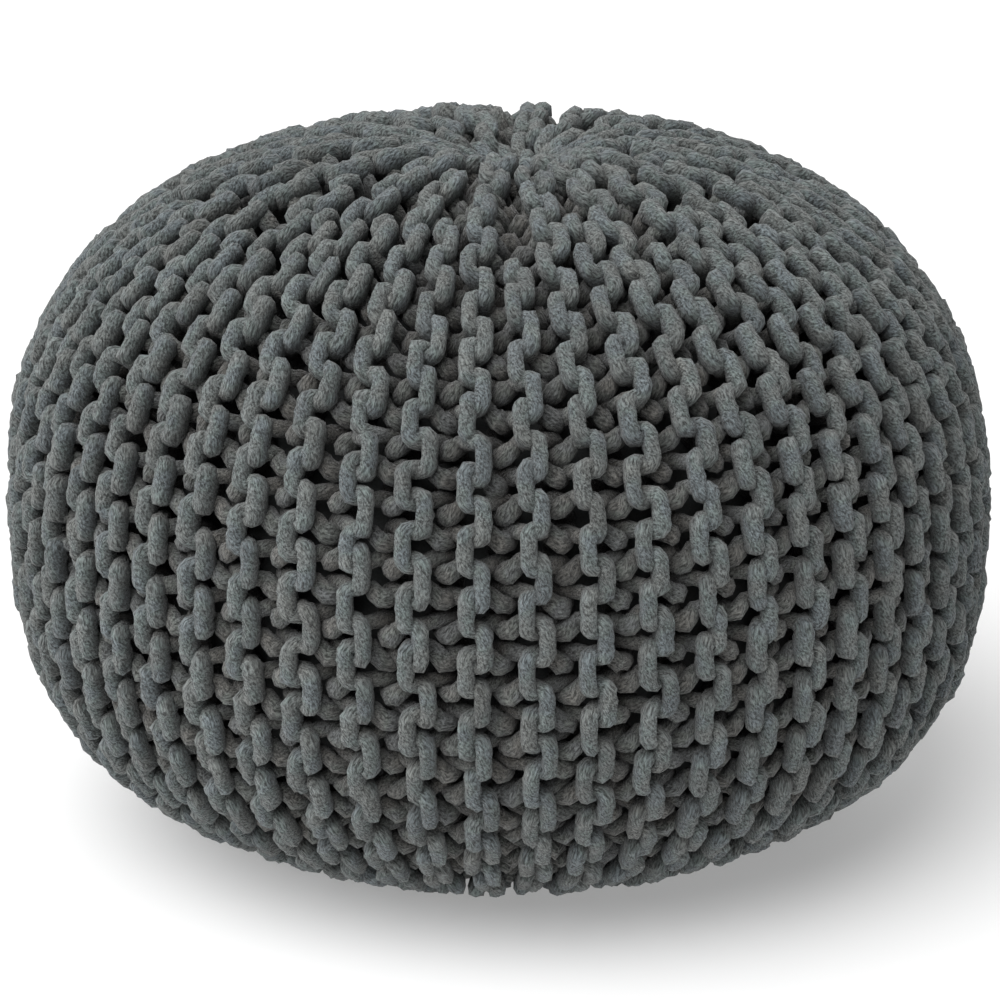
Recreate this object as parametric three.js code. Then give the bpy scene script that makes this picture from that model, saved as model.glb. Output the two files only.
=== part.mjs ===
// Knitted pouf: a round floor cushion in a cover of thick cotton cord, knitted sideways in garter
// stitch. The ridges of the knitting run from the crown down to the base like meridians. Half of
// them are short rows that stop well before the crown, and half of the rest stop nearer to it, so
// the ridges keep about the same width. Along a ridge the stitches bulge to the right and to the
// left in turn, which gives it its zigzag.
// Millimetres, +Z up, origin at the centre of the base, on the floor.

import * as THREE from "three";

// The stuffed form
const DIAMETER = 500; // over the ridges, at the widest level
const CROWN_RISE = 199; // from the widest level up to the crown
const BASE_DROP = 165; // from the widest level down to the floor
const FULL_DROP = 172; // where the lower curve would close if no floor pressed it flat
const CROWN_FULLNESS = 2.41; // exponent of the upper curve: 2 is an ellipse, more is squarer
const BASE_FULLNESS = 2.74; // exponent of the lower curve
const LEAN = -6; // how far the crown leans along X, against the base
const SWELLS = [
  // shares of the radius, and the direction of one bulge in radians
  { bulges: 2, towards: 0.6, share: 0.006 },
  { bulges: 4, towards: 0.2, share: 0.003 },
];

// The gathered crown
const DIMPLE_DEPTH = 18;
const DIMPLE_RADIUS = 36;
const GATHER_SHIFT = { x: 9.5, y: -22 }; // the gathered point lies off the middle
const GATHER_REACH = 90; // and pulls the rows with it over about this length
const SLANT = THREE.MathUtils.degToRad(-9.4); // the rows behind it run at a slant
const SLANT_FADE = { from: 90, to: 200 }; // down to here from the crown
const CREASE = { towards: 1.45, depth: 7, halfWidth: 11, from: 20, to: 120 }; // a fold behind it

// The knitting
const STITCH_LENGTH = 29.4; // one stitch along a ridge: a bulge to the left and one to the right
const FIRST_ROW = 21.6; // the first row of bulges, from the crown along the curve
const FIRST_RIDGE = THREE.MathUtils.degToRad(10.3); // azimuth of one long ridge
const BULGE_SHIFT = 4.2; // how far a bulge stands off the middle of its ridge
const BULGE_SHIFT_OF_PITCH = 0.16; // the same on a narrow ridge, as a share of its width
const RIDGE_DEPTH = 9; // crest to valley
const RIDGE_DEPTH_OF_PITCH = 0.36;
const FOOT_FADE = 34; // the ridges are pressed flat over this length before the floor
const RIDGE_SETS = [
  { fromPole: 0, ridges: 14 }, // long rows, gathered at the crown and under the base
  { fromPole: 84, ridges: 28 }, // and the middle rows
  { fromPole: 152, ridges: 56 }, // and the short rows
];

const BASE_PLATE_RADIUS = 80; // corners of the flat triangle in the middle of the base
const CORD_COLOUR = 0x5c605f;

const TURN = 2 * Math.PI;
const RADIUS = DIAMETER / 2;
const PROFILE_STEPS = 600;
const DROP_SHARE = Math.pow(BASE_DROP / FULL_DROP, BASE_FULLNESS);
const FOOT_RADIUS = RADIUS * Math.pow(1 - DROP_SHARE, 1 / BASE_FULLNESS);

// The profile over the crests, two superellipse quarters from the crown to the rim of the foot.
// Each point is {s, r, z}, where s is the distance from the crown along the curve.
function outerProfile() {
  const points = [];
  for (let i = 0; i <= PROFILE_STEPS; i++) {
    const t = ((i / PROFILE_STEPS) * Math.PI) / 2;
    const r = RADIUS * Math.pow(Math.sin(t), 2 / CROWN_FULLNESS);
    const rise = CROWN_RISE * Math.pow(Math.cos(t), 2 / CROWN_FULLNESS);
    const dimple = DIMPLE_DEPTH * Math.exp(-((r / DIMPLE_RADIUS) ** 2));
    points.push({ s: 0, r, z: BASE_DROP + rise - dimple });
  }
  const footAngle = Math.asin(Math.sqrt(DROP_SHARE));
  for (let i = 1; i <= PROFILE_STEPS; i++) {
    const t = (i / PROFILE_STEPS) * footAngle;
    const r = RADIUS * Math.pow(Math.cos(t), 2 / BASE_FULLNESS);
    const drop = FULL_DROP * Math.pow(Math.sin(t), 2 / BASE_FULLNESS);
    points.push({ s: 0, r, z: BASE_DROP - drop });
  }
  for (let i = 1; i < points.length; i++) {
    const [before, point] = [points[i - 1], points[i]];
    point.s = before.s + Math.hypot(point.r - before.r, point.z - before.z);
  }
  return points;
}

const profile = outerProfile();
const profileLength = profile[profile.length - 1].s;

// Where the profile is at distance s from the crown, with its outward normal.
function profileAt(s) {
  const next = profile.findIndex((point) => point.s > s);
  const i = next < 0 ? profile.length - 1 : next;
  const [a, b] = [profile[i - 1], profile[i]];
  const length = b.s - a.s;
  const share = (s - a.s) / length;
  return {
    r: a.r + share * (b.r - a.r),
    z: a.z + share * (b.z - a.z),
    normalR: (a.z - b.z) / length,
    normalZ: (b.r - a.r) / length,
  };
}

// How many ridges pass at distance s from the crown. Past the rim of the foot the rows run on,
// under the base, to its middle.
function ridgesAt(s) {
  const toPole = Math.min(s, profileLength - s + FOOT_RADIUS);
  return RIDGE_SETS.findLast((set) => toPole >= set.fromPole).ridges;
}

// How far the rows on the far side of the crown are turned at distance s from it.
function slantAt(s, azimuth) {
  const behind = Math.max(0, Math.sin(azimuth)) ** 2;
  return SLANT * behind * (1 - THREE.MathUtils.smoothstep(s, SLANT_FADE.from, SLANT_FADE.to));
}

// Depth of the crown's fold at a point of the form: a soft groove along one direction.
function creaseDepth(r, azimuth) {
  const across = r * Math.sin(azimuth - CREASE.towards);
  if (Math.cos(azimuth - CREASE.towards) < 0) return 0;
  const rise = THREE.MathUtils.smoothstep(r, 0, CREASE.from);
  const fall = 1 - THREE.MathUtils.smoothstep(r, CREASE.from, CREASE.to);
  return CREASE.depth * rise * fall * Math.exp(-((across / CREASE.halfWidth) ** 2));
}

// A point of the cover that lies a depth under the crests, along the normal.
function coverPoint(s, rowAzimuth, depth) {
  const { r, z, normalR, normalZ } = profileAt(s);
  const azimuth = rowAzimuth + slantAt(s, rowAzimuth);
  const swells = SWELLS.map(
    ({ bulges, towards, share }) => share * Math.cos(bulges * (azimuth - towards)),
  );
  const swell = swells.reduce((sum, part) => sum + part, 1);
  const sunk = depth + creaseDepth(r, azimuth);
  const radius = (r - sunk * normalR) * swell;
  const height = z - sunk * normalZ;
  const lean = (LEAN * (height - BASE_DROP)) / (CROWN_RISE + BASE_DROP);
  const gather = Math.exp(-((s / GATHER_REACH) ** 2));
  return new THREE.Vector3(
    radius * Math.cos(azimuth) + lean + GATHER_SHIFT.x * gather,
    radius * Math.sin(azimuth) + GATHER_SHIFT.y * gather,
    height,
  );
}

// One row of bulges round the pouf: a crest and a valley for each ridge, all shifted to one side.
function stitchRow(s, side) {
  const ridges = ridgesAt(s);
  const { r } = profileAt(s);
  const pitch = (TURN * r) / ridges;
  const pressed = THREE.MathUtils.smoothstep(profileLength - s, 0, FOOT_FADE);
  const depth = pressed * Math.min(RIDGE_DEPTH, RIDGE_DEPTH_OF_PITCH * pitch);
  const shift = side * Math.min(BULGE_SHIFT, BULGE_SHIFT_OF_PITCH * pitch);
  const row = [];
  for (let half = 0; half < 2 * ridges; half++) {
    const azimuth = FIRST_RIDGE + (half / (2 * ridges)) * TURN + shift / r;
    const isValley = half % 2 === 1;
    row.push({ azimuth, point: coverPoint(s, azimuth, isValley ? depth : 0) });
  }
  return row;
}

// Triangles between two rows that may have different counts: walk round both rows, and each time
// step on along the one that lags.
function joinRows(upper, lower, triangles) {
  const azimuthAt = (row, i) => row[i % row.length].azimuth + TURN * Math.floor(i / row.length);
  const vertexAt = (row, i) => row[i % row.length].vertex;
  let u = 0;
  let l = 0;
  while (u < upper.length || l < lower.length) {
    const lowerLags = azimuthAt(lower, l + 1) <= azimuthAt(upper, u + 1);
    if (u === upper.length || (l < lower.length && lowerLags)) {
      triangles.push(vertexAt(upper, u), vertexAt(lower, l), vertexAt(lower, l + 1));
      l++;
    } else {
      triangles.push(vertexAt(upper, u), vertexAt(lower, l), vertexAt(upper, u + 1));
      u++;
    }
  }
}

// The closed surface: a point in the dimple, rows half a stitch apart down to the foot, and the
// flat base.
function coverGeometry() {
  const positions = [];
  const triangles = [];
  const addVertex = ({ x, y, z }) => {
    positions.push(x, y, z);
    return positions.length / 3 - 1;
  };

  const steps = Math.round((profileLength - FIRST_ROW) / (STITCH_LENGTH / 2));
  const rows = [];
  for (let k = 0; k <= steps; k++) {
    const s = FIRST_ROW + (k / steps) * (profileLength - FIRST_ROW);
    const bulges = stitchRow(s, k % 2 ? 1 : -1);
    rows.push(bulges.map(({ azimuth, point }) => ({ azimuth, vertex: addVertex(point) })));
  }
  for (let k = 0; k < steps; k++) joinRows(rows[k], rows[k + 1], triangles);

  const crown = addVertex(coverPoint(0, 0, 0));
  const crownRow = rows[0].map((corner) => corner.vertex);
  crownRow.forEach((vertex, i) => {
    triangles.push(crown, vertex, crownRow[(i + 1) % crownRow.length]);
  });
  const baseRow = [0, 1, 2].map((corner) => {
    const azimuth = FIRST_RIDGE + (corner / 3) * TURN;
    const x = BASE_PLATE_RADIUS * Math.cos(azimuth);
    const y = BASE_PLATE_RADIUS * Math.sin(azimuth);
    return { azimuth, vertex: addVertex({ x, y, z: 0 }) };
  });
  joinRows(rows[steps], baseRow, triangles);
  triangles.push(baseRow[2].vertex, baseRow[1].vertex, baseRow[0].vertex);

  const geometry = new THREE.BufferGeometry();
  geometry.setAttribute("position", new THREE.Float32BufferAttribute(positions, 3));
  geometry.setIndex(triangles);
  geometry.computeVertexNormals();
  return geometry;
}

const cotton = new THREE.MeshStandardMaterial({
  color: CORD_COLOUR,
  roughness: 0.95,
  metalness: 0,
});
const knittedPouf = new THREE.Mesh(coverGeometry(), cotton);
knittedPouf.name = "knitted_pouf";

const pouf = new THREE.Group();
pouf.add(knittedPouf);

export default pouf;
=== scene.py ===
# %% [markdown]
# # A knitted pouf
# This is a round floor cushion in a cover of thick grey cotton cord. The cover is knitted sideways in
# garter stitch: its ridges run from the crown to the base like meridians, and short rows let it close at
# both ends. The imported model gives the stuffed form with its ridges. It could be dressed with a bump
# pattern, but a bump has no gaps and casts no shadow. So the cord itself is laid along the ridges here,
# stitch by stitch.

# %% The frame
import math

import bpy
import numpy as np
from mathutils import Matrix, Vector


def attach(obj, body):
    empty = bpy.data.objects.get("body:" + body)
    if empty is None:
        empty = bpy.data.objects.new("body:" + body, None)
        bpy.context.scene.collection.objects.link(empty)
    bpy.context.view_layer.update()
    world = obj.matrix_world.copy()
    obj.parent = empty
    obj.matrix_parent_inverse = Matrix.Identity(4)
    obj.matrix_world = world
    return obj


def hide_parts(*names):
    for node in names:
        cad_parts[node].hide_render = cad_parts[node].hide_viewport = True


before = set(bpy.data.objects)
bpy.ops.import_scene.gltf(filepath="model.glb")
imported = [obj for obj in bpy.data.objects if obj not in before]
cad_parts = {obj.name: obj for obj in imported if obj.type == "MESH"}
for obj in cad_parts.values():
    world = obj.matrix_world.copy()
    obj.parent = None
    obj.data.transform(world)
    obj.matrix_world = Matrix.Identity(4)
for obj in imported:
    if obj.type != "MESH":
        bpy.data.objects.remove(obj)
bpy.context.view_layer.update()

NODE = "knitted_pouf"
MM = 0.001

# %% [markdown]
# ## The outline
# The stuffing pulls the cover into a squat ball: the upper half is a little squarer than an ellipse, the
# lower half squarer still, and the floor presses the base flat. A sculpted mesh could give that too, but
# two superellipse quarters draw it with six numbers, and a soft dimple marks the place where the rows are
# gathered.

# %% The outline
DIAMETER = 500 * MM
CROWN_RISE = 199 * MM
BASE_DROP = 165 * MM
FULL_DROP = 172 * MM
CROWN_FULLNESS = 2.41
BASE_FULLNESS = 2.74
DIMPLE_DEPTH = 18 * MM
DIMPLE_RADIUS = 36 * MM
RIM_SOFTNESS = 24 * MM
QUARTER_STEPS = 2000


def outline():
    """Distance s from the crown, radius r and height z down the side and in under the base.

    r = R sin(t)^(2/n) and z = C cos(t)^(2/n) above the widest level, the same with a larger n below it,
    then a straight line on the floor to the middle. The points are spaced evenly, 1 mm apart, and a running
    mean softens the rim of the foot.
    """
    radius = DIAMETER / 2
    t = np.linspace(0, math.pi / 2, QUARTER_STEPS)
    r_up = radius * np.sin(t) ** (2 / CROWN_FULLNESS)
    z_up = CROWN_RISE * np.cos(t) ** (2 / CROWN_FULLNESS)
    z_up -= DIMPLE_DEPTH * np.exp(-((r_up / DIMPLE_RADIUS) ** 2))
    foot = math.asin((BASE_DROP / FULL_DROP) ** (BASE_FULLNESS / 2))
    t = np.linspace(0, foot, QUARTER_STEPS)[1:]
    r_down = radius * np.cos(t) ** (2 / BASE_FULLNESS)
    z_down = -FULL_DROP * np.sin(t) ** (2 / BASE_FULLNESS)
    r = np.concatenate([r_up, r_down, [0.0]])
    z = np.concatenate([z_up, z_down, [-BASE_DROP]]) + BASE_DROP
    s = np.concatenate([[0.0], np.cumsum(np.hypot(np.diff(r), np.diff(z)))])
    even = np.arange(0, s[-1], MM)
    r, z = np.interp(even, s, r), np.interp(even, s, z)
    window = np.ones(int(RIM_SOFTNESS / MM) | 1)
    window /= window.size
    soft_z = np.convolve(np.pad(z, window.size // 2, mode="edge"), window, mode="valid")
    return even, r, np.where(even > s[-1] / 2, soft_z, z)


OUT_S, OUT_R, OUT_Z = outline()
SIDE_LENGTH = OUT_S[-1]
slope_r, slope_z = np.gradient(OUT_R, OUT_S), np.gradient(OUT_Z, OUT_S)
slope = np.hypot(slope_r, slope_z)
OUT_NR, OUT_NZ = -slope_z / slope, slope_r / slope
print("crown to base middle", round(SIDE_LENGTH / MM), "mm")

# %% [markdown]
# ## The form
# A hand-stuffed pouf is never quite round. It swells a little, its crown leans, and the gathered point
# sits off the middle, with the rows behind it at a slant and a soft crease. Moving finished points about
# would be one way, but here every later piece asks this one function where to go, by three numbers: how
# far from the crown, which way round, and how deep under the surface. So everything bends together.

# %% The form
LEAN = -6 * MM
SWELLS = ((2, 0.6, 0.006), (4, 0.2, 0.003))  # bulges, direction of one in radians, share of the radius
GATHER_X = 9.5 * MM
GATHER_Y = -22 * MM
GATHER_REACH = 90 * MM
SLANT = math.radians(-9.4)
SLANT_FROM = 90 * MM
SLANT_TO = 200 * MM
CREASE_TOWARDS = 1.45
CREASE_DEPTH = 7 * MM
CREASE_HALF_WIDTH = 11 * MM
CREASE_FROM = 20 * MM
CREASE_TO = 120 * MM


def smoothstep(x, low, high):
    """0 below low, 1 above high, and the cubic 3x^2 - 2x^3 between them."""
    x = np.clip((x - low) / (high - low), 0, 1)
    return x * x * (3 - 2 * x)


def form(s, azimuth, depth):
    """Points of the form: depth metres under the outline at s, turned to the azimuth.

    The point is (radius cos a, radius sin a, height), set in along the outline's normal by the depth, with
    the swells, the lean, the pull of the gathered point exp(-(s / reach)^2), the slant and the crease added.
    """
    slant = SLANT * np.maximum(np.sin(azimuth), 0) ** 2
    azimuth = azimuth + slant * (1 - smoothstep(s, SLANT_FROM, SLANT_TO))
    r, z = np.interp(s, OUT_S, OUT_R), np.interp(s, OUT_S, OUT_Z)
    normal_r, normal_z = np.interp(s, OUT_S, OUT_NR), np.interp(s, OUT_S, OUT_NZ)
    behind = azimuth - CREASE_TOWARDS
    along = smoothstep(r, 0, CREASE_FROM) * (1 - smoothstep(r, CREASE_FROM, CREASE_TO))
    crease = CREASE_DEPTH * along * np.exp(-((r * np.sin(behind) / CREASE_HALF_WIDTH) ** 2))
    sunk = depth + crease * (np.cos(behind) > 0) * (s < SIDE_LENGTH / 2)
    swell = 1 + sum(share * np.cos(bulges * (azimuth - towards)) for bulges, towards, share in SWELLS)
    radius = (r - sunk * normal_r) * swell
    height = z - sunk * normal_z
    lean = LEAN * (height - BASE_DROP) / (CROWN_RISE + BASE_DROP)
    gather = np.exp(-((s / GATHER_REACH) ** 2))
    x = radius * np.cos(azimuth) + lean + GATHER_X * gather
    y = radius * np.sin(azimuth) + GATHER_Y * gather
    return np.stack([x, y, height], axis=-1)


print("crown at", form(0.0, 0.0, 0.0).round(3))

# %% [markdown]
# ## The rows
# Garter stitch has two courses to a ridge: one knitted up the side and one knitted back down. Fifty-six
# ridges go round the widest level. Near the crown there is less room, so half of them turn back early, and
# half of the rest turn back later: these are the short rows. Squeezing all ridges to a point would be
# simpler, but the knitting would grow finer towards the crown, which cord cannot do. So where a short row
# ends, its neighbours spread and close over it, and each ridge has a share of the turn that changes with
# the distance.

# %% Which rows end where
STITCH = 29.394 * MM
FIRST_STITCH = 21.6 * MM
RIDGES = 56
FIRST_RIDGE = math.radians(10.3)
RIDGE_STEP = 2 * math.pi / RIDGES
LAST_STITCH = int((SIDE_LENGTH - FIRST_STITCH) / STITCH)
LONG, SHORT, MIDDLE = 0, 1, 2
ROW_KINDS = np.tile([LONG, SHORT, MIDDLE, SHORT], RIDGES // 4)
MIDDLE_STARTS, MIDDLE_SHARES = (2, 3), (0.6, 0.4)  # stitches from the crown, and how many rows start there
SHORT_STARTS, SHORT_SHARES = (4, 5), (0.3, 0.7)
CLOSING = 0.6 * STITCH
BEHIND = np.sin(FIRST_RIDGE + RIDGE_STEP * np.arange(RIDGES)) > 0.5  # within 60 degrees of straight back
SEED = 7

chance = np.random.default_rng(SEED)


def row_ends():
    """The stitch at which each ridge starts below the crown, and that at which it ends under the base."""
    starts = np.zeros((2, RIDGES), int)
    for side in starts:
        side[ROW_KINDS == MIDDLE] = chance.choice(MIDDLE_STARTS, RIDGES // 4, p=MIDDLE_SHARES)
        side[(ROW_KINDS == MIDDLE) & BEHIND] = MIDDLE_STARTS[1]
        side[ROW_KINDS == SHORT] = chance.choice(SHORT_STARTS, RIDGES // 2, p=SHORT_SHARES)
    return starts[0], LAST_STITCH - starts[1]


FIRST_OF_ROW, LAST_OF_ROW = row_ends()
print("stitches in a row: longest", LAST_STITCH, "shortest", (LAST_OF_ROW - FIRST_OF_ROW).min())


def closed(ridge, s):
    """How far the ridge has closed up at s: 0 where it runs, 1 beyond its ends."""
    ridge = ridge % RIDGES
    top = FIRST_STITCH + STITCH * FIRST_OF_ROW[ridge]
    bottom = FIRST_STITCH + STITCH * LAST_OF_ROW[ridge]
    beyond = np.maximum(top - s, s - bottom)
    return 0 * s if ROW_KINDS[ridge] == LONG else smoothstep(beyond, -CLOSING, CLOSING)


def half_width(ridge, side, s):
    """The angle from the middle of a ridge to its edge on one side.

    It is half a step, more where the next short row has closed, and less as the ridge itself closes.
    """
    half = RIDGE_STEP / 2
    kind = ROW_KINDS[ridge]
    if kind == SHORT:
        return half * (1 - closed(ridge, s))
    wide = half * (1 + closed(ridge + side, s))
    if kind == MIDDLE:
        return wide * (1 - closed(ridge, s))
    return wide + 2 * half * closed(ridge + 2 * side, s)


# %% [markdown]
# ## One stitch
# Seen from outside, a ridge is two files of short pegs that lock like a zip: the heads of the knit course
# on the right and the feet of the purl course on the left, half a stitch apart. Both ends of a peg turn in
# behind the pegs beside it and go down into the valley. The upper strand comes up there once more, slack
# and full, as a bead; the lower one stays behind. On the inside of the cloth the cord turns back. Sine
# waves can draw such a loop, but its knuckles come out too round. So a short table gives the places that
# the cord passes in one stitch, and a smooth curve joins them.

# %% The places in one stitch
# Along the ridge in mm from the middle of a peg; across, 1 at the peg and -1 on the inside; depth in mm;
# then how far the cord's section is stretched along the ridge and in depth.
LOOP = np.array(
    [
        (0.0, 1.00, 5.0, 1.00, 1.30),  # the middle of a peg
        (5.0, 1.00, 5.0, 1.00, 1.30),
        (7.9, 0.94, 5.8, 1.00, 1.30),  # its lower end, beside the next peg on the other side
        (8.8, 0.62, 9.4, 1.00, 1.10),
        (7.8, 0.18, 13.4, 0.95, 0.95),  # behind that peg
        (6.8, -0.36, 16.4, 1.15, 1.05),  # the strand that stays behind
        (8.0, -0.80, 21.5, 1.05, 1.05),
        (16.4, -1.00, 25.0, 1.05, 1.05),  # the turn on the inside
        (25.2, -0.90, 21.5, 1.05, 1.05),
        (26.8, -0.76, 16.2, 1.18, 1.10),
        (26.2, -0.40, 11.2, 1.27, 1.15),  # the bead
        (21.6, 0.18, 13.4, 1.00, 0.95),  # behind the peg on the other side
        (20.6, 0.62, 9.4, 1.00, 1.10),
        (21.5, 0.94, 5.8, 1.00, 1.30),  # the upper end of the next peg
        (24.4, 1.00, 5.0, 1.00, 1.30),
    ]
)
LOOP[:, [0, 2]] *= MM
PEG_DEPTH = LOOP[0, 2]
LOOP_HEIGHT = np.ptp(LOOP[:, 2]) / 2


def loop_at(turns):
    """The five columns of the table at any number of turns, a turn being one stitch.

    Between two rows b and c, with a before and d after them, the curve at the share t is
    b + t (c - a) / 2 + t^2 (2a - 5b + 4c - d) / 2 + t^3 (3b - 3c + d - a) / 2.
    Each turn adds a stitch's length.
    """
    x = turns * len(LOOP)
    low = np.floor(x).astype(int)
    index = low[:, None] + np.arange(-1, 3)
    rows = LOOP[index % len(LOOP)]
    rows[..., 0] += STITCH * (index // len(LOOP))
    a, b, c, d = rows.transpose(1, 2, 0)
    t = x - low
    return b + t * (c - a) / 2 + t**2 * (2 * a - 5 * b + 4 * c - d) / 2 + t**3 * (3 * b - 3 * c + d - a) / 2


print("a loop is", round(2 * LOOP_HEIGHT / MM), "mm deep")

# %% [markdown]
# ## A course and a ridge
# No two stitches of hand knitting are alike, and they change with their place. On the crown the cloth is
# slack, so the pegs curl into each other and sit thick and high. On the side the weight of the filling
# pulls them straight. Where ridges crowd together, the cord is squeezed thinner and the valleys are
# deeper. Copies of one stitch could not show that, so each course is worked out whole, with a smooth
# random stray.

# %% The path of the cord in one ridge
STEPS = 30  # points of the path in one stitch
PEGS_APART = 8.3 * MM
PEGS_SHARE, PEGS_LEAST = 0.8, 0.5 * MM  # pegs stay this close where the ridge is narrow
ROOMY, TIGHTEST = 12 * MM, 0.3  # half a ridge that is not crowded, and the least share of it
CROWDED_SINK, CROWDED_THIN = 1.5, 0.34
SLACK_TO, TAUT_FROM = 150 * MM, 360 * MM
SLACK_CURL, SLACK_SINK, SLACK_SWELL = 2.0, 0.5, 0.12
STRAY_ALONG, STRAY_ACROSS, STRAY_DEPTH, STRAY_GIRTH = 1.6 * MM, 1.0 * MM, 1.0 * MM, 0.03
LEAST_RADIUS = 8 * MM
TURN_STEPS = 8
TURN_BULGE = 8 * MM
GATHER_BULGE, GATHER_TUCK = 18 * MM, 9 * MM  # the long rows are drawn together at their ends


def wander(count, size, per):
    """A smooth random wave: count samples of a cubic blend between draws that are per samples apart."""
    knots = chance.normal(0, size, count // per + 3)
    x = np.arange(count) / per
    low = x.astype(int)
    share = smoothstep(x - low, 0, 1)
    return knots[low] * (1 - share) + knots[low + 1] * share


def course(ridge, side):
    """One course of a ridge, from its first foot to its last, as six rows of numbers.

    They are s, azimuth, depth, the loop's lean to the side, and the section's two stretches. side is -1 for
    the knit course, whose pegs are on the right of the ridge's middle line, and 1 for the purl course. The
    table's across becomes a distance, (spacing / 2 - swing across), so that 1 is at the peg.
    """
    count = LAST_OF_ROW[ridge] - FIRST_OF_ROW[ridge]
    turns = np.linspace(0, count, STEPS * count + 1) - (0.5 if side < 0 else 0.0)
    along, across, depth, tall, deep = loop_at(turns)
    s = FIRST_STITCH + STITCH * FIRST_OF_ROW[ridge] + along + (STITCH / 2 if side < 0 else 0.0)
    radius = np.maximum(np.interp(s, OUT_S, OUT_R), LEAST_RADIUS)
    spacing = half_width(ridge, side, s) * radius
    slack = 1 - smoothstep(s, SLACK_TO, TAUT_FROM)
    crowding = 1 - np.clip(spacing / ROOMY, TIGHTEST, 1.0)
    across = np.where(across > 0, np.abs(across) ** (1 + SLACK_CURL * slack), across)
    pegs = np.minimum(PEGS_APART, PEGS_SHARE * spacing + PEGS_LEAST)
    swing = (spacing + pegs) / 2
    across = side * (spacing / 2 - swing * across)
    depth = depth + (CROWDED_SINK * crowding + SLACK_SINK * slack) * (depth - PEG_DEPTH)
    points, apart = len(s), STEPS // 2
    s = s + wander(points, STRAY_ALONG, apart)
    across = across + wander(points, STRAY_ACROSS, apart)
    depth = depth + np.abs(wander(points, STRAY_DEPTH, apart))
    azimuth = FIRST_RIDGE + ridge * RIDGE_STEP + across / radius
    girth = 1 + SLACK_SWELL * slack - CROWDED_THIN * crowding + wander(points, STRAY_GIRTH, apart)
    return np.stack([s, azimuth, depth, -side * swing, girth * tall, girth * deep])


def ridge_path(ridge):
    """The closed run of cord in one ridge: up the knit course, over the edge and down the purl course."""
    knit, purl = course(ridge, -1), course(ridge, 1)
    share = (np.arange(TURN_STEPS) + 1) / (TURN_STEPS + 1)
    gathered = ROW_KINDS[ridge] == LONG
    bulge, tuck = (GATHER_BULGE, GATHER_TUCK) if gathered else (TURN_BULGE, 0.0)

    def turn(end, towards):
        """Half a turn over the edge, from the knit course to the purl course."""
        path = knit[:, end, None] + smoothstep(share, 0, 1) * (purl[:, end, None] - knit[:, end, None])
        path[0] += towards * bulge * np.sin(math.pi * share)
        path[2] += tuck * np.sin(math.pi * share)
        return path

    return np.concatenate([knit[:, ::-1], turn(0, -1), purl, turn(-1, 1)[:, ::-1]], axis=1)


print("points in the longest ridge", 2 * (STEPS * LAST_STITCH + 1 + TURN_STEPS))

# %% [markdown]
# ## The cord
# The cord is soft, so it is not a round pipe. A peg is pressed flat against its neighbours and stands up
# between them, and a bead is squashed into its valley. A bevelled curve would be quick, but its section is
# the same all along. So the section is carried along the path as rings of points: a circle made squarer,
# stretched by the stitch table and roughened by small random lumps. The rings also keep where they lie on
# the straightened cord, which lets the fibres of the finish follow it round every bend.

# %% The cord as a tube
CORD = 7.7 * MM
SIDES = 8
LUMPS = 0.06
OVAL = 0.07
SQUARENESS = 3  # exponent of the section: 2 is a circle, more is squarer
CORD_TWIST = 2 * math.pi / (60 * MM)  # one turn of the yarn in 60 mm
CORD_IN_RIDGE = 3.0  # metres by which the next ridge's cord is further on, so that its fibres differ
NUDGE = 1e-4  # a small turn in radians, to find which way is round the pouf


def unit(v):
    """The vectors at length 1."""
    return v / np.linalg.norm(v, axis=-1, keepdims=True)


def section(centre, outward, around, lean):
    """The rings' directions, square to the path, and how far each of them points up out of the cover.

    A ring is first cos a + second sin a. The two are held by the plane in which a loop lies, so the tube
    never twists.
    """
    run = unit(np.roll(centre, -1, 0) - np.roll(centre, 1, 0))
    flat = LOOP_HEIGHT * around - lean[:, None] * outward
    first = unit(flat - (flat * run).sum(1, keepdims=True) * run)[:, None]
    second = np.cross(run, first[:, 0])[:, None]
    turn = (np.arange(SIDES) / SIDES * 2 * math.pi)[None, :, None]
    ring = np.cos(turn) * first + np.sin(turn) * second
    return ring, (ring * outward[:, None]).sum(2)


def cord_tube(ridge):
    """Rings of points round the path of one ridge, where each lies on the straightened cord, and its look.

    The radius is that of a superellipse, (u^n + v^n)^(-1/n), where u and v are the shares of the direction
    that point out of the cover and along it. Then the section is stretched out of the cover and along it.
    """
    s, azimuth, depth, lean, tall, deep = ridge_path(ridge)
    centre = form(s, azimuth, depth)
    outward = unit(form(s, azimuth, depth - MM) - centre)
    around = unit(form(s, azimuth + NUDGE, depth) - centre)
    ring, upward = section(centre, outward, around, lean)
    turn = np.arange(SIDES) / SIDES * 2 * math.pi
    oval = wander(len(s), OVAL, STEPS // 2)[:, None] * np.cos(2 * turn)
    lumps = chance.normal(0, LUMPS, (len(s), SIDES))
    flat = np.sqrt(np.maximum(1 - upward**2, 0))
    square = (np.abs(upward) ** SQUARENESS + flat**SQUARENESS) ** (-1 / SQUARENESS)
    ring *= (CORD / 2 * (1 + oval + lumps) * square)[..., None]
    for axis, stretch in ((outward, deep), (np.cross(outward, around), tall)):
        ring += ((ring * axis[:, None]).sum(2) * (stretch - 1)[:, None])[..., None] * axis[:, None]
    points = centre[:, None] + ring
    points[..., 2] = np.maximum(points[..., 2], 0)
    length = np.concatenate([[0.0], np.cumsum(np.linalg.norm(np.diff(centre, axis=0), axis=1))])[:, None]
    twisted = turn + CORD_TWIST * length
    along = np.broadcast_to(length + ridge * CORD_IN_RIDGE, twisted.shape)
    straight = np.stack([CORD / 2 * np.cos(twisted), CORD / 2 * np.sin(twisted), along], -1)
    # the look: a random drift of the grey, how far each point faces out of the cover, and its depth in cord
    # thicknesses; the finish paints shade from the last two
    shade = np.broadcast_to(wander(len(s), 1.0, STEPS // 2)[:, None], upward.shape)
    sunk = np.broadcast_to((depth / CORD)[:, None], upward.shape)
    return points, straight, np.stack([shade, upward, sunk], -1)


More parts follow.
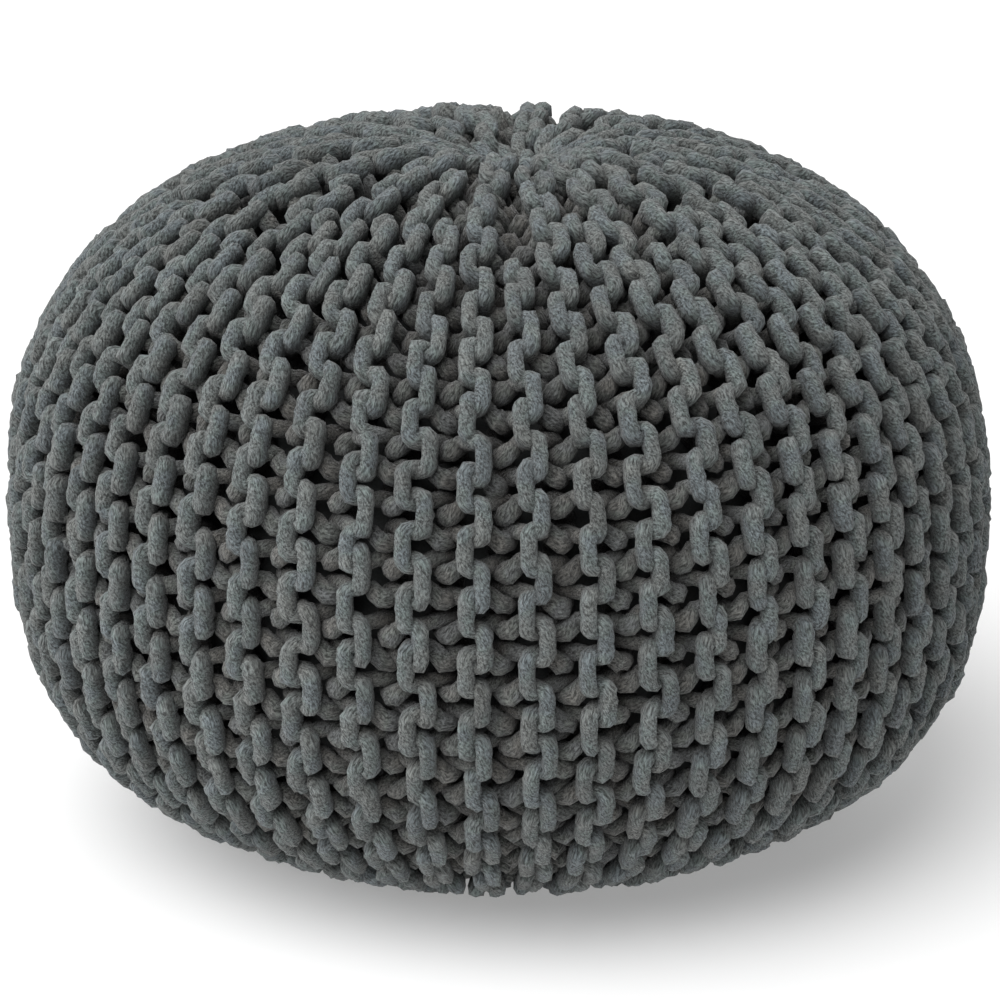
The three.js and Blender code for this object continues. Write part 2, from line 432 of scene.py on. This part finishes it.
print("cord", round(CORD / MM, 1), "mm thick, before it is pressed")

# %% [markdown]
# ## The cover
# A real cover is one length of cord, but one mesh of a million triangles is awkward to work with. So it is
# made as seven gores of eight ridges each. Blender takes a mesh fastest as whole arrays, so the points and
# faces go in by foreach_set, and each gore keeps two attributes for its finish.

# %% The gores of the cover
GORES = 7


def mesh_object(name, points, corners, attributes):
    """A mesh object from arrays: points (n, 3), four-cornered faces (m, 4), and vectors at the points."""
    mesh = bpy.data.meshes.new(name)
    mesh.vertices.add(len(points))
    mesh.vertices.foreach_set("co", points.astype(np.float32).ravel())
    mesh.loops.add(corners.size)
    mesh.loops.foreach_set("vertex_index", corners.astype(np.int32).ravel())
    mesh.polygons.add(len(corners))
    mesh.polygons.foreach_set("loop_start", np.arange(0, corners.size, 4, dtype=np.int32))
    mesh.polygons.foreach_set("use_smooth", np.ones(len(corners), bool))
    for label, vectors in attributes.items():
        layer = mesh.attributes.new(label, "FLOAT_VECTOR", "POINT")
        layer.data.foreach_set("vector", vectors.astype(np.float32).ravel())
    mesh.update(calc_edges=True)
    made = bpy.data.objects.new(name, mesh)
    bpy.context.scene.collection.objects.link(made)
    return made


def grid_faces(row, next_row, columns):
    """Corners of the faces between rows of points and the rows after them, each row closed to a ring."""
    side = np.arange(columns)
    beside = (side + 1) % columns
    row, next_row = row[:, None] * columns, next_row[:, None] * columns
    corners = [row + side, next_row + side, next_row + beside, row + beside]
    return np.stack(corners, -1).reshape(-1, 4)


def gore(number):
    """A seventh of the cover: the cord of eight neighbouring ridges, joined in one mesh."""
    ridges = np.arange(RIDGES // GORES) + number * (RIDGES // GORES)
    tubes = [cord_tube(ridge) for ridge in ridges]
    corners, start = [], 0
    for rings in (len(points) for points, _, _ in tubes):
        ring = np.arange(rings)
        corners.append(grid_faces(ring, (ring + 1) % rings, SIDES) + start)
        start += rings * SIDES
    points, straight, look = (np.concatenate([tube[k].reshape(-1, 3) for tube in tubes]) for k in range(3))
    attributes = {"straight_cord": straight, "stitch_look": look}
    return mesh_object(f"knit_gore_{number + 1}", points, np.concatenate(corners), attributes)


gores = [gore(number) for number in range(GORES)]
print("cord faces", [len(piece.data.polygons) for piece in gores])

# %% [markdown]
# ## The filling
# Behind the stitches lies the stuffed bag that gives the pouf its body. Only its darkness shows, through
# the gaps, so a plain closed form set in just behind the back of the loops is enough: rows of points from
# the crown to the base, with one flat face at either end. It dips under the gather, so the opening of the
# crown is dark.

# %% The stuffed bag
BAG_DEPTH = 31 * MM
BAG_DIP, BAG_DIP_REACH = 45 * MM, 45 * MM  # under the gather, where the crown is open
BAG_ROUND = 120
BAG_ROWS = 60
BAG_FROM, BAG_TO = 0.03, 0.97  # shares of the way from the crown to the base's middle


def stuffed_bag():
    """The form at a depth of d + p exp(-(s / q)^2), as a grid of s and azimuth, with one face at either end.

    d is the bag's depth, p its dip under the gather and q the dip's reach.
    """
    s = np.linspace(BAG_FROM, BAG_TO, BAG_ROWS) * SIDE_LENGTH
    azimuth = np.arange(BAG_ROUND) / BAG_ROUND * 2 * math.pi
    depth = BAG_DEPTH + BAG_DIP * np.exp(-((s / BAG_DIP_REACH) ** 2))
    grid = form(s[:, None], azimuth[None], depth[:, None])
    row = np.arange(BAG_ROWS - 1)
    faces = grid_faces(row, row + 1, BAG_ROUND).tolist()
    top = list(range(BAG_ROUND))
    bottom = [(BAG_ROWS - 1) * BAG_ROUND + corner for corner in reversed(top)]
    mesh = bpy.data.meshes.new("stuffed_bag")
    mesh.from_pydata(grid.reshape(-1, 3).tolist(), [], faces + [top, bottom])
    mesh.polygons.foreach_set("use_smooth", np.ones(len(mesh.polygons), bool))
    made = bpy.data.objects.new("stuffed_bag", mesh)
    bpy.context.scene.collection.objects.link(made)
    return made


bag = stuffed_bag()
print("bag faces", len(bag.data.polygons))

# %% [markdown]
# ## Colours and nodes
# Colours are easiest to judge as the hex codes that a screen shows, but Blender reckons in linear light,
# so one function turns them. Materials are graphs of nodes. Building them by hand in the editor is good
# for trying things out, and a small helper that adds a node, sets it and links it keeps the same graph
# readable as text.

# %% Helpers for the finishes


def linear(code):
    """A six-digit sRGB hex colour as linear red, green, blue and alpha."""
    parts = [int(code[i : i + 2], 16) / 255 for i in (0, 2, 4)]
    return [p / 12.92 if p <= 0.04045 else ((p + 0.055) / 1.055) ** 2.4 for p in parts] + [1.0]


def node(tree, kind, settings=(), inputs=(), stops=(), **links):
    """Adds a node, with its properties, its unlinked sockets, its colour stops and its links.

    The stops are a ramp's two ends and then those between them. A link is named for its socket, with _ for a
    space, or i and the socket's number.
    """
    made = tree.nodes.new(kind)
    for key, value in dict(settings).items():
        setattr(made, key, value)
    for key, value in dict(inputs).items():
        made.inputs[key].default_value = value
    for number, (place, code) in enumerate(stops):
        ramp = made.color_ramp.elements
        stop = ramp[-number] if number < 2 else ramp.new(place)
        stop.position = place
        stop.color = linear(code)
    for key, output in links.items():
        tree.links.new(output, made.inputs[int(key[1:]) if key[1:].isdigit() else key.replace("_", " ")])
    return made


def new_material(name):
    """An empty material and its node tree."""
    material = bpy.data.materials.new(name)
    material.use_nodes = True
    material.node_tree.nodes.clear()
    return material, material.node_tree


print("cord grey in linear light", [round(part, 3) for part in linear("7b8281")])

# %% [markdown]
# ## Cotton cord
# The cord is spun cotton in dark grey, a soft yarn with short fibres and little twist. To the eye it is
# quite matte and a little furry at the edges, flecked along its length, with a grey that drifts to green,
# blue or brown from stitch to stitch. An image of yarn would repeat and smear at the bends. So noise is
# laid along the straightened cord, stretched a little in its direction, and the same noise raises the
# bump. Painted shade makes the strands deeper in the cloth darker and browner, and the flanks, where cord
# lies against cord, darker.

# %% The cotton cord
FIBRE = 0.85 * MM  # real fibres are a fiftieth of this, and tufts of them are drawn so that they show
FIBRE_LENGTH = 1.3 * MM
FIBRE_RELIEF = 1.1 * MM
TUFT = 1.4 * MM
TUFT_RELIEF = 1.6 * MM
DYE = 15 * MM
SHADE_DRIFT = 0.2  # the share by which the grey drifts, at two deviations
# painted shade: faces that point along the cover rather than out of it are painted darker, down to half
FLANK_SHADE = {"From Min": -0.3, "From Max": 0.6, "To Min": 0.5}  # by how far a face points out of the cover
# painted shade: strands from 0.7 to 2.5 cord thicknesses under the surface are painted darker and browner
RECESS_SHADE_RANGE = {"From Min": 0.7, "From Max": 2.5}  # in cord thicknesses under the surface
MULTIPLY = {"data_type": "RGBA", "blend_type": "MULTIPLY"}


def spun_cotton_cord():
    """Spun cotton cord: matte and faintly furry, flecked with fibres, uneven in its grey, with painted
    shade.
    """
    material, tree = new_material("spun_cotton_cord")
    place = node(tree, "ShaderNodeAttribute", {"attribute_name": "straight_cord"}).outputs["Vector"]
    look = node(tree, "ShaderNodeAttribute", {"attribute_name": "stitch_look"}).outputs["Vector"]
    shade, upward, depth = node(tree, "ShaderNodeSeparateXYZ", Vector=look).outputs
    spot = node(tree, "ShaderNodeTexCoord").outputs["Object"]

    fibre_scale = {"Scale": (1 / FIBRE, 1 / FIBRE, 1 / FIBRE_LENGTH)}
    stretched = node(tree, "ShaderNodeMapping", inputs=fibre_scale, Vector=place)
    fleck = {"Scale": 1.0, "Detail": 2.0, "Roughness": 0.6}
    fibres = node(tree, "ShaderNodeTexNoise", inputs=fleck, Vector=stretched.outputs[0])
    tuft = {"Scale": 1 / TUFT, "Detail": 3.0, "Roughness": 0.6}
    tufts = node(tree, "ShaderNodeTexNoise", inputs=tuft, Vector=place)
    dye = node(tree, "ShaderNodeTexNoise", inputs={"Scale": 1 / DYE, "Detail": 1.0}, Vector=spot)

    greys = ((0.36, "333635"), (0.64, "7b8281"))
    grey = node(tree, "ShaderNodeValToRGB", stops=greys, i0=fibres.outputs["Fac"])
    tints = ((0.34, "faf6f4"), (0.62, "eef3fb"), (0.45, "f5f5f6"), (0.52, "eef6f4"))
    tint = node(tree, "ShaderNodeValToRGB", stops=tints, i0=dye.outputs["Fac"])
    tinted = node(tree, "ShaderNodeMix", MULTIPLY, {0: 1.0}, i6=grey.outputs[0], i7=tint.outputs[0])
    drift = {"From Min": -2.0, "From Max": 2.0, "To Min": 1 - SHADE_DRIFT, "To Max": 1 + SHADE_DRIFT}
    drifted = node(tree, "ShaderNodeMapRange", inputs=drift, Value=shade)
    uneven = node(tree, "ShaderNodeHueSaturation", Color=tinted.outputs[2], Value=drifted.outputs[0])

    # painted shade: the deeper a strand lies in the cloth, the darker and browner it is painted
    recess_shade_stops = ((0.0, "ffffff"), (1.0, "847770"), (0.4, "fff4ef"))
    sunk = node(tree, "ShaderNodeMapRange", inputs=RECESS_SHADE_RANGE, Value=depth)
    brown = node(tree, "ShaderNodeValToRGB", stops=recess_shade_stops, i0=sunk.outputs[0])
    recess_shaded = node(tree, "ShaderNodeMix", MULTIPLY, {0: 1.0}, i6=uneven.outputs[0], i7=brown.outputs[0])
    # painted shade on the flanks, where cord lies against cord
    painted_flank_shade = node(tree, "ShaderNodeMapRange", inputs=FLANK_SHADE, Value=upward)
    colour = node(tree, "ShaderNodeMix", MULTIPLY, {0: 1.0}, i6=recess_shaded.outputs[2], i7=painted_flank_shade.outputs[0])

    raised = node(tree, "ShaderNodeBump", inputs={"Distance": FIBRE_RELIEF}, Height=fibres.outputs["Fac"])
    furry = node(
        tree,
        "ShaderNodeBump",
        inputs={"Distance": TUFT_RELIEF},
        Height=tufts.outputs["Fac"],
        Normal=raised.outputs[0],
    )
    cotton = {"Roughness": 1.0, "Specular IOR Level": 0.1, "Sheen Weight": 0.25, "Sheen Roughness": 0.6}
    surface = node(
        tree,
        "ShaderNodeBsdfPrincipled",
        inputs=cotton,
        Base_Color=colour.outputs[2],
        Normal=furry.outputs[0],
    )
    node(tree, "ShaderNodeOutputMaterial", Surface=surface.outputs[0])
    return material


cord_finish = spun_cotton_cord()
print(cord_finish.name, "with", len(cord_finish.node_tree.nodes), "nodes")

# %% [markdown]
# ## Bag cloth
# The bag is plain woven cloth in nearly the same grey, and that dark grey is also painted shade, which keeps
# the gaps between the stitches dark. It lies in the dark behind the cord, so a fine mottle of two greys, as
# of a coarse weave, is all that the eye can find there.

# %% The bag cloth
THREAD = 1.1 * MM  # coarser than real threads, so that they show


def bag_cloth_with_painted_shade():
    """Plain woven cotton: matte, with a fine mottle of threads, in a dark grey that is also painted shade.
    """
    material, tree = new_material("bag_cloth_with_painted_shade")
    place = node(tree, "ShaderNodeTexCoord").outputs["Object"]
    weave = node(tree, "ShaderNodeTexNoise", inputs={"Scale": 1 / THREAD, "Detail": 2.0}, Vector=place)
    # painted shade: the bag's dark greys keep the gaps in the knitting dark
    greys = ((0.0, "3a3b3b"), (1.0, "555757"))
    grey = node(tree, "ShaderNodeValToRGB", stops=greys, i0=weave.outputs["Fac"])
    cloth = {"Roughness": 1.0, "Specular IOR Level": 0.1}
    surface = node(tree, "ShaderNodeBsdfPrincipled", inputs=cloth, Base_Color=grey.outputs[0])
    node(tree, "ShaderNodeOutputMaterial", Surface=surface.outputs[0])
    return material


bag_finish = bag_cloth_with_painted_shade()
print(bag_finish.name, "with", len(bag_finish.node_tree.nodes), "nodes")

# %% [markdown]
# ## Pieces on the frame
# The gores and the bag together stand for the one solid of the imported model. They ride on its only body,
# each with its own finish, and the imported solid is hidden.

# %% Pieces on the frame
for piece, finish in [(cover, cord_finish) for cover in gores] + [(bag, bag_finish)]:
    piece.data.materials.append(finish)
    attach(piece, "root")
    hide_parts(NODE)
print(len(gores) + 1, "pieces stand for", NODE)

# %% [markdown]
# ## The studio
# The pouf stands on a plain white floor, and its shadow stays pale, as on a table that is lit from below.
# A floor that glows a little gives that. One large softbox stands at the upper left, and a weak one behind
# the pouf lifts the rim of the crown. Area lights would do, but suns with a wide angle give the same soft
# edge wherever they stand. A long lens from a little above shows the outline nearly without perspective.

# %% The floor
FLOOR_REACH = 6.0
FLOOR_GLOW = 0.3

floor_mesh = bpy.data.meshes.new("studio_floor")
floor_corners = [(x * FLOOR_REACH, y * FLOOR_REACH, 0) for x, y in ((-1, -1), (1, -1), (1, 1), (-1, 1))]
floor_mesh.from_pydata(floor_corners, [], [(0, 1, 2, 3)])
floor = bpy.data.objects.new("studio_floor", floor_mesh)
bpy.context.scene.collection.objects.link(floor)
floor_finish, floor_tree = new_material("frosted_white_acrylic")
frosted = {
    # frosted acrylic: white and matte, with an even glow
    "Base Color": linear("d2d2d2"),
    "Roughness": 0.9,
    "Specular IOR Level": 0.1,
    "Emission Color": linear("ffffff"),
    "Emission Strength": FLOOR_GLOW,
}
floor_surface = node(floor_tree, "ShaderNodeBsdfPrincipled", inputs=frosted)
node(floor_tree, "ShaderNodeOutputMaterial", Surface=floor_surface.outputs[0])
floor_mesh.materials.append(floor_finish)
print("floor", 2 * FLOOR_REACH, "m wide")

# %% The light
ROOM_LIGHT = 0.215
SOFTBOXES = {
    # direction towards the light, strength, angle across
    "left_softbox": ((-0.65, -0.72, 1.3), 3.98, 62),
    "back_softbox": ((0.15, 1.0, 0.7), 0.7, 50),
}

world = bpy.data.worlds.new("studio")
world.use_nodes = True
room = world.node_tree.nodes["Background"].inputs
room["Color"].default_value = linear("ffffff")
room["Strength"].default_value = ROOM_LIGHT
bpy.context.scene.world = world
for name, (direction, strength, angle) in SOFTBOXES.items():
    light = bpy.data.lights.new(name, "SUN")
    light.energy = strength
    light.angle = math.radians(angle)
    softbox = bpy.data.objects.new(name, light)
    softbox.rotation_euler = Vector(direction).to_track_quat("Z", "Y").to_euler()
    bpy.context.scene.collection.objects.link(softbox)
print("lights", list(SOFTBOXES))

# %% The camera
VIEW_ELEVATION = math.radians(17.2)
VIEW_DISTANCE = 1.75
LENS = 122.4

lens = bpy.data.cameras.new("photo_camera")
lens.lens = LENS
lens.sensor_width = 36
camera = bpy.data.objects.new("photo_camera", lens)
bpy.context.scene.collection.objects.link(camera)
view_height = BASE_DROP + VIEW_DISTANCE * math.sin(VIEW_ELEVATION)
camera.location = (0, -VIEW_DISTANCE * math.cos(VIEW_ELEVATION), view_height)
camera.rotation_euler = (math.pi / 2 - VIEW_ELEVATION, 0, 0)
bpy.context.scene.camera = camera
bpy.context.scene.view_settings.view_transform = "Standard"
print("camera", round(view_height, 3), "m above the floor")
